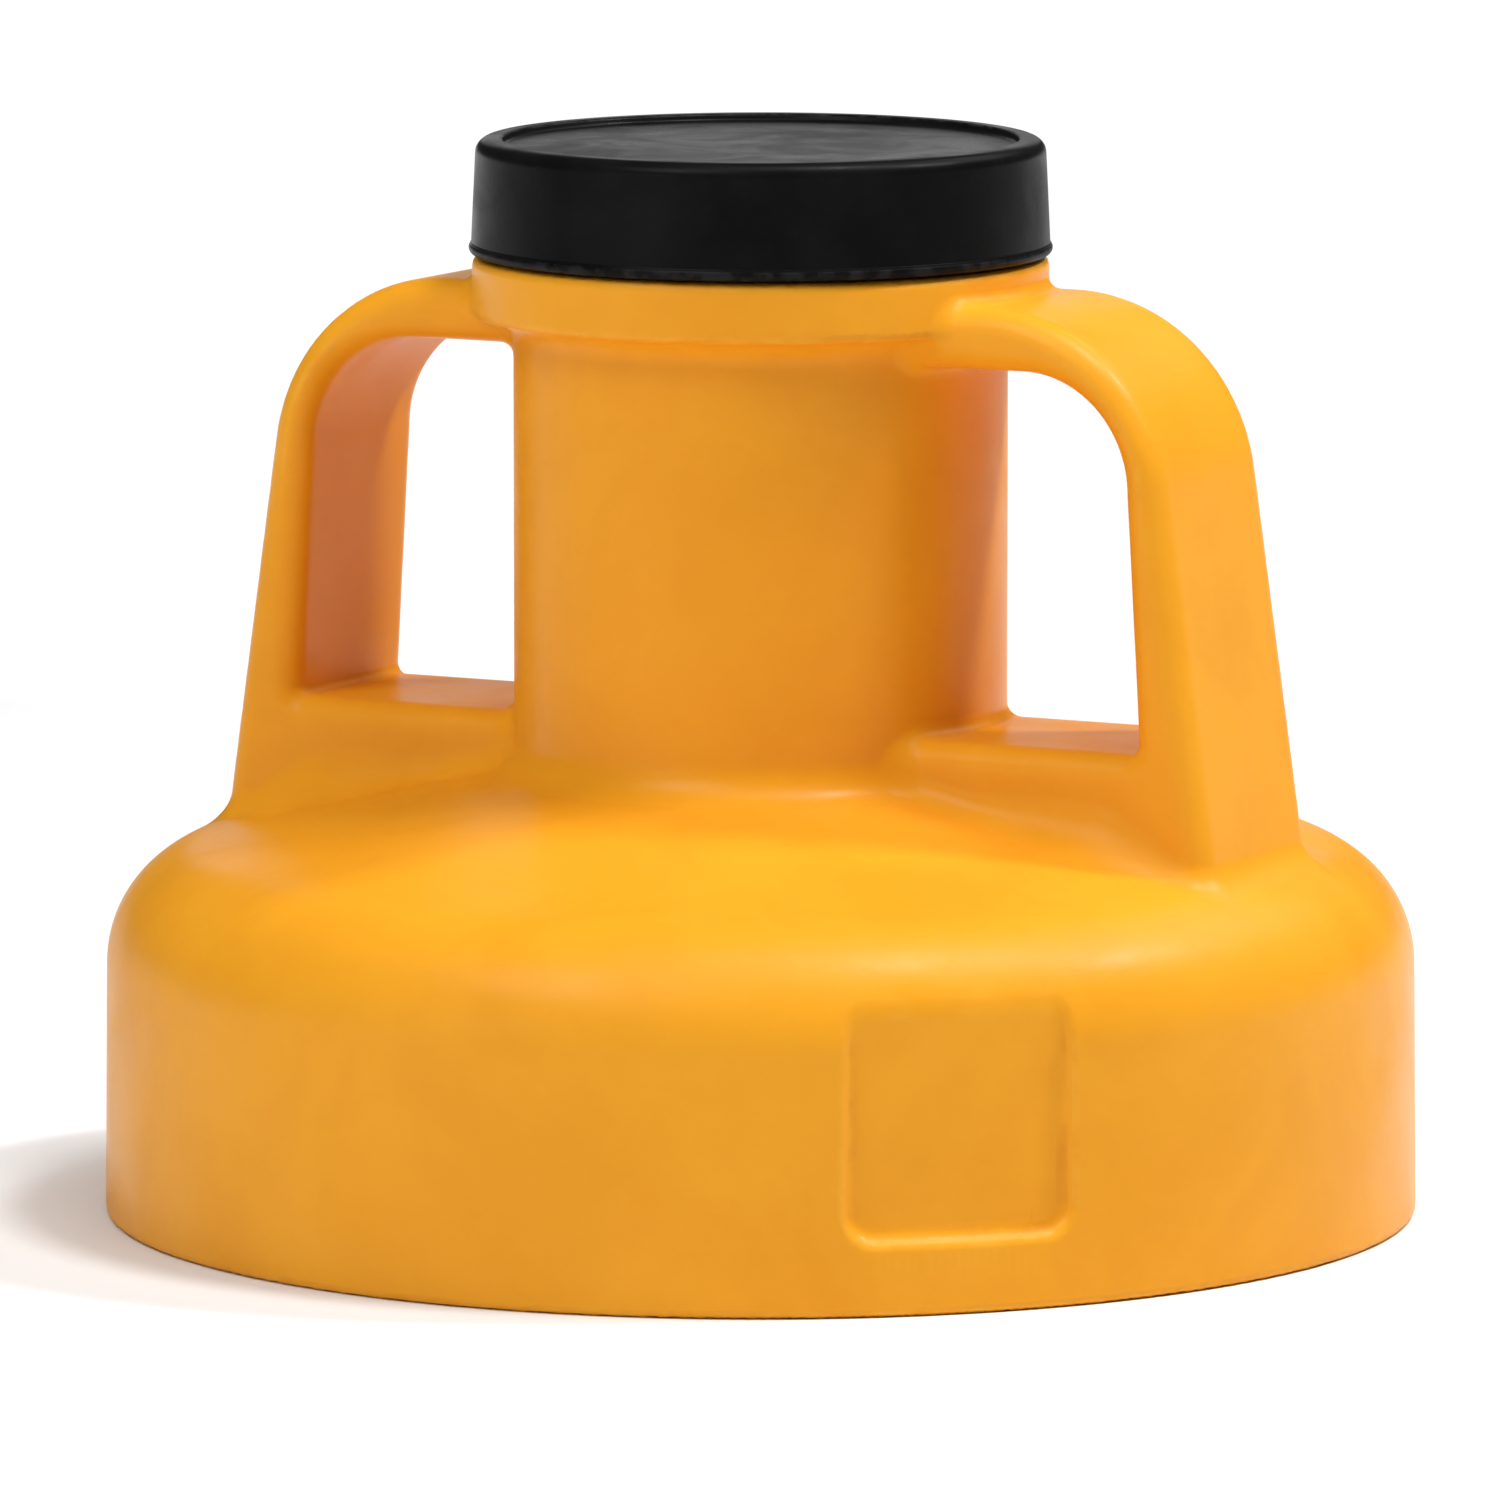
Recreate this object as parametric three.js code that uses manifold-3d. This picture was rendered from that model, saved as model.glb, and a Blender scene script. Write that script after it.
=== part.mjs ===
// Twin-handled utility lid for an oil container.
// A moulded lid screws onto the container's mouth, a gasket seals it there, and a screw cap with a
// liner closes its tall pour neck. A handle stands on each side, from the neck's flange to the dome.
//
// Millimetres, +Z up. The origin is the centre of the collar's bottom rim, and the two handles lie
// on the X axis. Profiles are drawn as (radius, height) and revolved about Z.

import * as THREE from 'three';
import { mergeVertices } from 'three/addons/utils/BufferGeometryUtils.js';
import Module from 'manifold-3d';

const wasm = await Module();
wasm.setup();

const SEGMENTS = 60; // facets round every revolved shape
const GAP = 0.3; // clearance between pieces that touch
const SUNK = 0.5; // how far a thread's root reaches into the wall that carries it
const CUT_PAST = 5; // how far a cut runs past the faces it opens
const TURN = 2 * Math.PI;

// Collar, shoulder and dome
const COLLAR_R = 80;
const COLLAR_TOP_R = 79.7; // the mould's draft
const WALL = 3.2;
const SHOULDER_R = 15;
const SHOULDER_Z = 30.6; // where the collar's wall starts to curve in
const DOME_SLOPE = THREE.MathUtils.degToRad(13.7);
const SEAT_Z = 34; // sealing face for the gasket
const SEAT_INNER_R = 64;

// Pour neck and its flange
const NECK_R = 30;
const NECK_FOOT_R = 5; // fillet where the neck meets the dome
const FLANGE_R = 35;
const FLANGE_TOP_Z = 116.8;
const FLANGE_UNDER_Z = 109.5;
const FLANGE_FILLET_R = 3;
const FLANGE_EDGE_R = 1.2;
const LIP_Z = 126.3;
const LIP_CHAMFER = 0.6;

// Threads, all right-handed
const CAP_PITCH = 5;
const CAP_THREAD_HEIGHT = 1.4;
const CAP_THREAD_TURNS = 1.1;
const NECK_THREAD_Z = 118.6; // centre of the ridge where it starts
const CAP_THREAD_DROP = 1.9; // the cap's ridge lies this far under the neck's
const CAP_THREAD_LEAD_IN = 0.35; // turns from the neck's start to the cap's start
const COLLAR_PITCH = 8;
const COLLAR_THREAD_HEIGHT = 2.6;
const COLLAR_THREAD_TURNS = 1.5;
const COLLAR_THREAD_Z = 7;
const THREAD_ROOT_SHARE = 0.44; // width of a ridge's root and crest, as shares of the pitch
const THREAD_CREST_SHARE = 0.18;
const THREAD_RUN_OUT = 0.08; // turns over which a ridge fades at each end
const THREAD_END_SHARE = 0.05; // height left at a ridge's very ends

// Handles, drawn in the XZ plane and extruded along Y
const HANDLE_WIDTH = 29;
const HANDLE_EDGE_R = 2;
const HANDLE_TOP_Z = 113.3;
const HANDLE_BEND_R = 24;
const LEG_TOP_Z = 92;
const LEG_TOP_OUTER_X = 60.7;
const LEG_TOP_INNER_X = 55.6;
const LEG_OUTER_LEAN = 0.15; // mm outwards for each mm down
const LEG_INNER_LEAN = 0.056;
const LEG_BOTTOM_Z = 44;
const WINDOW_TOP_Z = 105.8;
const WINDOW_FLOOR_Z = 60.8;
const WINDOW_CORNER_R = 14;
const WINDOW_FLOOR_CORNER_R = 1.5;
const HANDLE_ROOT_X = 22; // inside the bore, which is cut afterwards
const FLARE_R = 9; // fillet from the saddle's sides down to the dome
const FLARE_DROP = 1.5;
const FLARE_END_X = 64;
const FLARE_BURIED = 6; // how far the flare reaches under the dome's face

// Label recess in the collar
const LABEL_ANGLE = THREE.MathUtils.degToRad(-45);
const LABEL_WIDTH = 28;
const LABEL_BOTTOM_Z = 9;
const LABEL_TOP_Z = 42;
const LABEL_CORNER_R = 3;
const LABEL_DEPTH = 1.5;

// Screw cap, its liner and the gasket
const CAP_R = 35.4;
const CAP_TOP_R = 34.6;
const CAP_INNER_R = 32.1;
const CAP_TOP_Z = 131.1;
const CAP_EDGE_R = 1.8;
const CAP_CHAMFER = 0.9;
const CAP_RIM_WIDTH = 3.4;
const CAP_RECESS = 0.9;
const LINER_R = 31.6;
const LINER_THICK = 1.3;
const GASKET_INNER_R = 65;
const GASKET_OUTER_R = 76;
const GASKET_THICK = 3;

// Height of the dome's outer face at a radius
function domeZ(radius) {
  const tangentR = COLLAR_TOP_R - SHOULDER_R + SHOULDER_R * Math.sin(DOME_SLOPE);
  const tangentZ = SHOULDER_Z + SHOULDER_R * Math.cos(DOME_SLOPE);
  return tangentZ + (tangentR - radius) * Math.tan(DOME_SLOPE);
}

// Points of an arc in the profile plane, angles in radians
function arc(centreR, centreZ, radius, from, to, steps) {
  const points = [];
  for (let i = 0; i <= steps; i += 1) {
    const angle = from + ((to - from) * i) / steps;
    points.push([centreR + radius * Math.cos(angle), centreZ + radius * Math.sin(angle)]);
  }
  return points;
}

// A closed geometry as a solid for joining and cutting
function solid(geometry) {
  const bare = geometry.clone();
  bare.deleteAttribute('normal');
  bare.deleteAttribute('uv');
  const merged = mergeVertices(bare, 1e-4);
  const position = merged.attributes.position;
  const index = merged.index.array;
  const corners = [0, 1, 2].map(() => new THREE.Vector3());
  const triangles = [];
  let volume = 0;
  for (let i = 0; i < index.length; i += 3) {
    const [a, b, c] = [index[i], index[i + 1], index[i + 2]];
    if (a === b || b === c || c === a) continue;
    [a, b, c].forEach((vertex, k) => corners[k].fromBufferAttribute(position, vertex));
    volume += corners[0].dot(corners[1].clone().cross(corners[2]));
    triangles.push(a, b, c);
  }
  if (volume < 0) triangles.reverse();
  const mesh = new wasm.Mesh({
    numProp: 3,
    vertProperties: new Float32Array(position.array),
    triVerts: new Uint32Array(triangles),
  });
  return new wasm.Manifold(mesh);
}

function revolve(profile) {
  const points = profile.map(([radius, height]) => new THREE.Vector2(radius, height));
  return solid(new THREE.LatheGeometry(points, SEGMENTS).rotateX(Math.PI / 2));
}

// A shape drawn in the XZ plane, extruded to a width centred on Y = 0
function extrudeAcross(shape, width, edgeRadius) {
  const geometry = new THREE.ExtrudeGeometry(shape, {
    depth: width - 2 * edgeRadius,
    bevelEnabled: edgeRadius > 0,
    bevelThickness: edgeRadius,
    bevelSize: edgeRadius,
    bevelOffset: -edgeRadius,
    bevelSegments: 2,
    curveSegments: 10,
  });
  geometry.translate(0, 0, edgeRadius - width / 2);
  return solid(geometry.rotateX(Math.PI / 2));
}

// A ridge wound round Z. Height is positive for an outside thread and negative for an inside one.
function threadRidge({ wallR, height, startZ, startTurn, turns, pitch }) {
  const outwards = Math.sign(height);
  const rootHalf = (pitch * THREAD_ROOT_SHARE) / 2;
  const crestHalf = (pitch * THREAD_CREST_SHARE) / 2;
  const section = new THREE.Shape();
  section.moveTo(0, -rootHalf);
  section.lineTo(Math.abs(height), -crestHalf);
  section.lineTo(Math.abs(height), crestHalf);
  section.lineTo(0, rootHalf);
  section.closePath();
  const geometry = new THREE.ExtrudeGeometry(section, {
    depth: turns,
    steps: Math.round(turns * SEGMENTS),
    bevelEnabled: false,
  });
  const position = geometry.attributes.position;
  for (let i = 0; i < position.count; i += 1) {
    const turn = position.getZ(i);
    const fade = Math.min(1, turn / THREAD_RUN_OUT, (turns - turn) / THREAD_RUN_OUT);
    const lift = position.getX(i) * Math.max(fade, THREAD_END_SHARE);
    const sink = position.getX(i) > 0 ? (1 - fade) * SUNK : SUNK;
    const radius = wallR + outwards * (lift - sink);
    const angle = (startTurn + turn) * TURN;
    const z = startZ + position.getY(i) + turn * pitch;
    position.setXYZ(i, radius * Math.cos(angle), radius * Math.sin(angle), z);
  }
  return solid(geometry);
}

// Outside of the collar, dome, neck and flange, up to the lip
function lidOutside() {
  const footR = NECK_R + NECK_FOOT_R;
  const footZ = domeZ(footR) + NECK_FOOT_R / Math.cos(DOME_SLOPE);
  const underR = NECK_R + FLANGE_FILLET_R;
  const underZ = FLANGE_UNDER_Z - FLANGE_FILLET_R;
  const edgeR = FLANGE_R - FLANGE_EDGE_R;
  const edgeZ = FLANGE_TOP_Z - FLANGE_EDGE_R;
  return revolve([
    [0, 0],
    [COLLAR_R, 0],
    ...arc(COLLAR_TOP_R - SHOULDER_R, SHOULDER_Z, SHOULDER_R, 0, Math.PI / 2 - DOME_SLOPE, 7),
    ...arc(footR, footZ, NECK_FOOT_R, 1.5 * Math.PI - DOME_SLOPE, Math.PI, 4),
    ...arc(underR, underZ, FLANGE_FILLET_R, Math.PI, Math.PI / 2, 4),
    [FLANGE_R, FLANGE_UNDER_Z],
    ...arc(edgeR, edgeZ, FLANGE_EDGE_R, 0, Math.PI / 2, 3),
    [NECK_R, FLANGE_TOP_Z],
    [NECK_R, LIP_Z - LIP_CHAMFER],
    [NECK_R - LIP_CHAMFER, LIP_Z],
    [0, LIP_Z],
  ]);
}

// The space inside the lid, open at the bottom and at the lip
function lidInside() {
  const boreR = NECK_R - WALL;
  const wallDrop = WALL / Math.cos(DOME_SLOPE);
  return revolve([
    [0, -CUT_PAST],
    [COLLAR_R - WALL, -CUT_PAST],
    [COLLAR_TOP_R - WALL, SEAT_Z],
    [SEAT_INNER_R, SEAT_Z],
    [SEAT_INNER_R, domeZ(SEAT_INNER_R) - wallDrop],
    [boreR, domeZ(boreR) - wallDrop],
    [boreR, LIP_Z + CUT_PAST],
    [0, LIP_Z + CUT_PAST],
  ]);
}

// The strap from the flange round the bend and down the leg, and the saddle under the window
function handleOutline() {
  const lean = Math.atan(LEG_OUTER_LEAN);
  const bendX = LEG_TOP_OUTER_X - HANDLE_BEND_R * Math.cos(lean);
  const bendZ = HANDLE_TOP_Z - HANDLE_BEND_R;
  const cornerX = LEG_TOP_INNER_X - WINDOW_CORNER_R;
  const cornerZ = WINDOW_TOP_Z - WINDOW_CORNER_R;
  const bottomOuterX = LEG_TOP_OUTER_X + (LEG_TOP_Z - LEG_BOTTOM_Z) * LEG_OUTER_LEAN;
  const floorX = LEG_TOP_INNER_X + (LEG_TOP_Z - WINDOW_FLOOR_Z) * LEG_INNER_LEAN;
  const shape = new THREE.Shape();
  shape.moveTo(HANDLE_ROOT_X, HANDLE_TOP_Z);
  shape.lineTo(HANDLE_ROOT_X, WINDOW_TOP_Z);
  shape.absarc(cornerX, cornerZ, WINDOW_CORNER_R, Math.PI / 2, 0, true);
  shape.lineTo(floorX, WINDOW_FLOOR_Z + WINDOW_FLOOR_CORNER_R);
  shape.lineTo(floorX - WINDOW_FLOOR_CORNER_R, WINDOW_FLOOR_Z);
  shape.lineTo(HANDLE_ROOT_X, WINDOW_FLOOR_Z);
  shape.lineTo(HANDLE_ROOT_X, LEG_BOTTOM_Z);
  shape.lineTo(bottomOuterX, LEG_BOTTOM_Z);
  shape.absarc(bendX, bendZ, HANDLE_BEND_R, lean, Math.PI / 2, false);
  shape.closePath();
  return shape;
}

// The widening foot under the saddle, drawn across and extruded down the dome's slope
function saddleFlare() {
  const half = HANDLE_WIDTH / 2;
  const toe = half + FLARE_R;
  const shape = new THREE.Shape();
  shape.moveTo(-toe, -FLARE_BURIED);
  shape.absarc(-toe, FLARE_R, FLARE_R, 1.5 * Math.PI, 2 * Math.PI, false);
  shape.absarc(toe, FLARE_R, FLARE_R, Math.PI, 1.5 * Math.PI, false);
  shape.lineTo(toe, -FLARE_BURIED);
  shape.closePath();
  const length = (FLARE_END_X - HANDLE_ROOT_X) / Math.cos(DOME_SLOPE);
  const geometry = new THREE.ExtrudeGeometry(shape, {
    depth: length,
    bevelEnabled: false,
    curveSegments: 6,
  });
  geometry.rotateX(Math.PI / 2);
  geometry.rotateZ(Math.PI / 2);
  geometry.rotateY(DOME_SLOPE);
  geometry.translate(HANDLE_ROOT_X, 0, domeZ(HANDLE_ROOT_X) - FLARE_DROP);
  return solid(geometry);
}

// The hand's window as a block that clears the flare from it
function windowBlock() {
  const height = WINDOW_TOP_Z - WINDOW_FLOOR_Z;
  const block = new THREE.BoxGeometry(FLARE_END_X, 2 * COLLAR_R, height);
  block.translate(HANDLE_ROOT_X + FLARE_END_X / 2, 0, WINDOW_FLOOR_Z + height / 2);
  return solid(block);
}

function handle() {
  const strap = extrudeAcross(handleOutline(), HANDLE_WIDTH, HANDLE_EDGE_R);
  return saddleFlare().subtract(windowBlock()).add(strap);
}

// Block that cuts the label recess: a rounded window outside the recess's floor
function labelCutter() {
  const half = LABEL_WIDTH / 2;
  const shape = new THREE.Shape();
  shape.moveTo(-half, LABEL_TOP_Z);
  shape.absarc(-half + LABEL_CORNER_R, LABEL_BOTTOM_Z + LABEL_CORNER_R, LABEL_CORNER_R,
    Math.PI, 1.5 * Math.PI, false);
  shape.absarc(half - LABEL_CORNER_R, LABEL_BOTTOM_Z + LABEL_CORNER_R, LABEL_CORNER_R,
    1.5 * Math.PI, 2 * Math.PI, false);
  shape.lineTo(half, LABEL_TOP_Z);
  shape.closePath();
  const geometry = new THREE.ExtrudeGeometry(shape, {
    depth: 4 * CUT_PAST,
    bevelEnabled: false,
    curveSegments: 4,
  });
  geometry.rotateX(Math.PI / 2);
  geometry.rotateZ(Math.PI / 2);
  geometry.translate(COLLAR_R - 2 * CUT_PAST, 0, 0);
  geometry.rotateZ(LABEL_ANGLE);
  const floorR = COLLAR_R - LABEL_DEPTH;
  const topZ = LABEL_TOP_Z + CUT_PAST;
  const floor = revolve([[0, 0], [floorR, 0], [floorR, topZ], [0, topZ]]);
  return solid(geometry).subtract(floor);
}

function lidBody() {
  const opposite = handle().rotate([0, 0, 180]);
  const neckThread = threadRidge({
    wallR: NECK_R,
    height: CAP_THREAD_HEIGHT,
    startZ: NECK_THREAD_Z,
    startTurn: 0,
    turns: CAP_THREAD_TURNS,
    pitch: CAP_PITCH,
  });
  const collarThread = threadRidge({
    wallR: COLLAR_R - WALL,
    height: -COLLAR_THREAD_HEIGHT,
    startZ: COLLAR_THREAD_Z,
    startTurn: 0,
    turns: COLLAR_THREAD_TURNS,
    pitch: COLLAR_PITCH,
  });
  return lidOutside()
    .add(handle())
    .add(opposite)
    .add(neckThread)
    .subtract(lidInside())
    .subtract(labelCutter())
    .add(collarThread);
}

function pourCap() {
  const bottomZ = FLANGE_TOP_Z + GAP;
  const ceilingZ = LIP_Z + GAP + LINER_THICK + GAP;
  const edgeZ = CAP_TOP_Z - CAP_EDGE_R;
  const rimInnerR = CAP_TOP_R - CAP_RIM_WIDTH;
  const floorZ = CAP_TOP_Z - CAP_RECESS;
  const shell = revolve([
    [0, ceilingZ],
    [CAP_INNER_R, ceilingZ],
    [CAP_INNER_R, bottomZ],
    [CAP_R - CAP_CHAMFER, bottomZ],
    [CAP_R, bottomZ + CAP_CHAMFER],
    ...arc(CAP_TOP_R - CAP_EDGE_R, edgeZ, CAP_EDGE_R, 0, Math.PI / 2, 4),
    [rimInnerR, CAP_TOP_Z],
    [rimInnerR - CAP_RECESS, floorZ],
    [0, floorZ],
  ]);
  const thread = threadRidge({
    wallR: CAP_INNER_R,
    height: -CAP_THREAD_HEIGHT,
    startZ: NECK_THREAD_Z - CAP_THREAD_DROP + CAP_THREAD_LEAD_IN * CAP_PITCH,
    startTurn: CAP_THREAD_LEAD_IN,
    turns: CAP_THREAD_TURNS,
    pitch: CAP_PITCH,
  });
  return shell.add(thread);
}

function capLiner() {
  const bottomZ = LIP_Z + GAP;
  const topZ = bottomZ + LINER_THICK;
  return revolve([[0, bottomZ], [LINER_R, bottomZ], [LINER_R, topZ], [0, topZ]]);
}

function baseGasket() {
  const topZ = SEAT_Z - GAP;
  const bottomZ = topZ - GASKET_THICK;
  return revolve([
    [GASKET_INNER_R, bottomZ],
    [GASKET_OUTER_R, bottomZ],
    [GASKET_OUTER_R, topZ],
    [GASKET_INNER_R, topZ],
    [GASKET_INNER_R, bottomZ],
  ]);
}

// A finished piece as a named mesh
function piece(name, shape, material) {
  const { vertProperties, triVerts } = shape.getMesh();
  const geometry = new THREE.BufferGeometry();
  geometry.setAttribute('position', new THREE.BufferAttribute(vertProperties, 3));
  geometry.setIndex(new THREE.BufferAttribute(triVerts, 1));
  geometry.computeVertexNormals();
  const mesh = new THREE.Mesh(geometry, material);
  mesh.name = name;
  return mesh;
}

const yellowPlastic = new THREE.MeshStandardMaterial({ color: 0xf2a71f, roughness: 0.42, metalness: 0 });
const blackPlastic = new THREE.MeshStandardMaterial({ color: 0x141415, roughness: 0.38, metalness: 0 });
const linerFoam = new THREE.MeshStandardMaterial({ color: 0xd9d7cf, roughness: 0.85, metalness: 0 });
const gasketRubber = new THREE.MeshStandardMaterial({ color: 0x1d1d1e, roughness: 0.7, metalness: 0 });

const lid = new THREE.Group();
lid.add(piece('lid_body', lidBody(), yellowPlastic));
lid.add(piece('base_gasket', baseGasket(), gasketRubber));
lid.add(piece('cap_liner', capLiner(), linerFoam));
lid.add(piece('pour_cap', pourCap(), blackPlastic));

export default lid;
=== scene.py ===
"""Looks of the twin-handled utility lid: the moulded lid, its screw cap, the cap's liner and the gasket.

The lid is one moulding with soft fillets, so it is described by its signed distance in millimetres and
meshed from that. The cap, the liner and the gasket are revolved profiles, and the cap's thread is pushed in
from its wall. The materials and the studio follow.
"""

import math

import bmesh
import bpy
import numpy as np
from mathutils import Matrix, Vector


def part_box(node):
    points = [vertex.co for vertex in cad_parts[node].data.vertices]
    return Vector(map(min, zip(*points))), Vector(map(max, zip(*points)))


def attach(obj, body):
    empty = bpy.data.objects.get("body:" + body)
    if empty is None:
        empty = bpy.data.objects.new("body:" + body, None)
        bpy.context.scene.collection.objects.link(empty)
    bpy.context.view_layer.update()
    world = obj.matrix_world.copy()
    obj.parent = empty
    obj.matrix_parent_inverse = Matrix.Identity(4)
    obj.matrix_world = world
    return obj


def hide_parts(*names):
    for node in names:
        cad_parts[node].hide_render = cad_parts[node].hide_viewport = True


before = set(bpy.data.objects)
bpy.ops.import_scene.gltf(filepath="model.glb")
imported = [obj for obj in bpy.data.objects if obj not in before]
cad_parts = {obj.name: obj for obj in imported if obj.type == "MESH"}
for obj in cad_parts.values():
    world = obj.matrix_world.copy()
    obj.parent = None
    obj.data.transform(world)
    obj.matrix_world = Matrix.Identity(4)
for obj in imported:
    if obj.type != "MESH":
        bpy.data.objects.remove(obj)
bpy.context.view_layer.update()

MM = 0.001
TURN = 2 * math.pi
MERGE_DISTANCE = 1e-6


def size_of(node):
    """A CAD node's largest radius, lowest and highest level in mm."""
    low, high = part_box(node)
    return high[0] / MM, low[2] / MM, high[2] / MM


# Driving dimensions in mm. Those that the frame gives come from its nodes. The rest follow the CAD, with
# finer blends and edges.
COLLAR_R, _, LIP_Z = size_of("lid_body")
CAP_R, CAP_BOTTOM_Z, CAP_TOP_Z = size_of("pour_cap")
LINER_R, LINER_BOTTOM_Z, LINER_TOP_Z = size_of("cap_liner")
GASKET_OUTER_R, GASKET_BOTTOM_Z, GASKET_TOP_Z = size_of("base_gasket")
GAP = 0.3

COLLAR_TOP_R = COLLAR_R - 0.3
RIM_EDGE_R = 0.9
WALL = 3.2
SHOULDER_R = 15
SHOULDER_Z = 30.6
DOME_SLOPE = math.radians(13.7)
SEAT_Z = GASKET_TOP_Z + GAP
SEAT_INNER_R = 64
GASKET_INNER_R = 65

NECK_R = 30
NECK_FOOT_R = 5
FLANGE_R = 35
FLANGE_TOP_Z = CAP_BOTTOM_Z - GAP
FLANGE_UNDER_Z = 109.5
FLANGE_FILLET_R = 3.4
FLANGE_EDGE_R = 1.2

CAP_PITCH = 5
CAP_THREAD_HEIGHT = 1.4
CAP_THREAD_TURNS = 1.1
NECK_THREAD_Z = 118.6
CAP_THREAD_DROP = 1.9
CAP_THREAD_LEAD_IN = 0.35
COLLAR_PITCH = 8
COLLAR_THREAD_HEIGHT = 2.6
COLLAR_THREAD_TURNS = 1.5
COLLAR_THREAD_Z = 7
THREAD_ROOT_SHARE = 0.44
THREAD_CREST_SHARE = 0.18
THREAD_RUN_OUT = 0.08

HANDLE_WIDTH = 29
HANDLE_EDGE_R = 3.2
HANDLE_TOP_Z = 113.3
HANDLE_BEND_R = 24
LEG_TOP_Z = 92
LEG_TOP_OUTER_X = 60.7
LEG_TOP_INNER_X = 55.6
LEG_OUTER_LEAN = 0.15
LEG_INNER_LEAN = 0.056
LEG_BOTTOM_Z = 40
WINDOW_TOP_Z = 105.8
WINDOW_FLOOR_Z = 60.8
WINDOW_CORNER_R = 14
WINDOW_FLOOR_CORNER_R = 1.2
HANDLE_ROOT_X = 22
STRAP_BLEND_R = 1.8
FOOT_BLEND_R = 3
FLARE_TOP_Z = 55.8
FLARE_FULL_X = 51
FLARE_END_X = 65

LABEL_ANGLE = math.radians(-45)
LABEL_HALF_WIDTH = 13.2
LABEL_BOTTOM_Z = 9.4
LABEL_CORNER_R = 3
LABEL_DEPTH = 1.5
LABEL_WALL_SLOPE = 0.7

CAP_TOP_R = CAP_R - 0.8
CAP_INNER_R = 32.1
CAP_EDGE_R = 1.8
CAP_SIDE_R = CAP_R - 0.3
CAP_HEM_EDGE_R = 0.75
CAP_HEM_HEIGHT = 1.55
CAP_RIM_WIDTH = 3.4
CAP_RECESS = 0.9

LID_STEP = 0.8
LID_FACES = 130_000
BLOCK = 6


# --- Outlines -------------------------------------------------------------------------------------------


def arc(centre, radius, start, stop, steps=16):
    """Points of an arc, angles in radians."""
    angles = np.linspace(start, stop, steps + 1)
    return [(centre[0] + radius * math.cos(a), centre[1] + radius * math.sin(a)) for a in angles]


def dome_z(radius):
    """Height of the dome's outer face at a radius."""
    tangent_r = COLLAR_TOP_R - SHOULDER_R + SHOULDER_R * math.sin(DOME_SLOPE)
    tangent_z = SHOULDER_Z + SHOULDER_R * math.cos(DOME_SLOPE)
    return tangent_z + (tangent_r - radius) * math.tan(DOME_SLOPE)


def outside_outline():
    """Collar, shoulder, dome, neck and flange as (radius, height), out to the lip."""
    half_turn, quarter = math.pi, math.pi / 2
    under_edge_r, lip_edge_r = 0.8, 0.6
    rim = (COLLAR_R - RIM_EDGE_R, RIM_EDGE_R)
    foot_r = NECK_R + NECK_FOOT_R
    foot = (foot_r, dome_z(foot_r) + NECK_FOOT_R / math.cos(DOME_SLOPE))
    under = (NECK_R + FLANGE_FILLET_R, FLANGE_UNDER_Z - FLANGE_FILLET_R)
    under_edge = (FLANGE_R - under_edge_r, FLANGE_UNDER_Z + under_edge_r)
    edge = (FLANGE_R - FLANGE_EDGE_R, FLANGE_TOP_Z - FLANGE_EDGE_R)
    lip = (NECK_R - lip_edge_r, LIP_Z - lip_edge_r)
    return [
        (-5, 0),
        *arc(rim, RIM_EDGE_R, -quarter, 0, 6),
        *arc((COLLAR_TOP_R - SHOULDER_R, SHOULDER_Z), SHOULDER_R, 0, quarter - DOME_SLOPE, 40),
        *arc(foot, NECK_FOOT_R, 1.5 * half_turn - DOME_SLOPE, half_turn, 20),
        *arc(under, FLANGE_FILLET_R, half_turn, quarter, 14),
        *arc(under_edge, under_edge_r, -quarter, 0, 6),
        *arc(edge, FLANGE_EDGE_R, 0, quarter, 8),
        (NECK_R, FLANGE_TOP_Z),
        *arc(lip, lip_edge_r, 0, quarter, 6),
        (-5, LIP_Z),
    ]


def inside_outline():
    """The space inside the lid, open at the bottom and at the lip."""
    bore_r = NECK_R - WALL
    wall_drop = WALL / math.cos(DOME_SLOPE)
    past = 6
    corner_r = 5
    ceiling = dome_z(SEAT_INNER_R) - wall_drop
    corner = (SEAT_INNER_R - corner_r, ceiling - corner_r * 0.55)
    return [
        (-5, -past),
        (COLLAR_R - WALL, -past),
        (COLLAR_R - WALL, 0),
        (COLLAR_TOP_R - WALL, SEAT_Z - 1),
        (COLLAR_TOP_R - WALL - 1, SEAT_Z),
        (SEAT_INNER_R, SEAT_Z),
        *arc(corner, corner_r, 0, math.pi / 2 - DOME_SLOPE, 8),
        (bore_r + 3, dome_z(bore_r + 3) - wall_drop),
        (bore_r, dome_z(bore_r) - wall_drop + 2.4),
        (bore_r, LIP_Z + past),
        (-5, LIP_Z + past),
    ]


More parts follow.
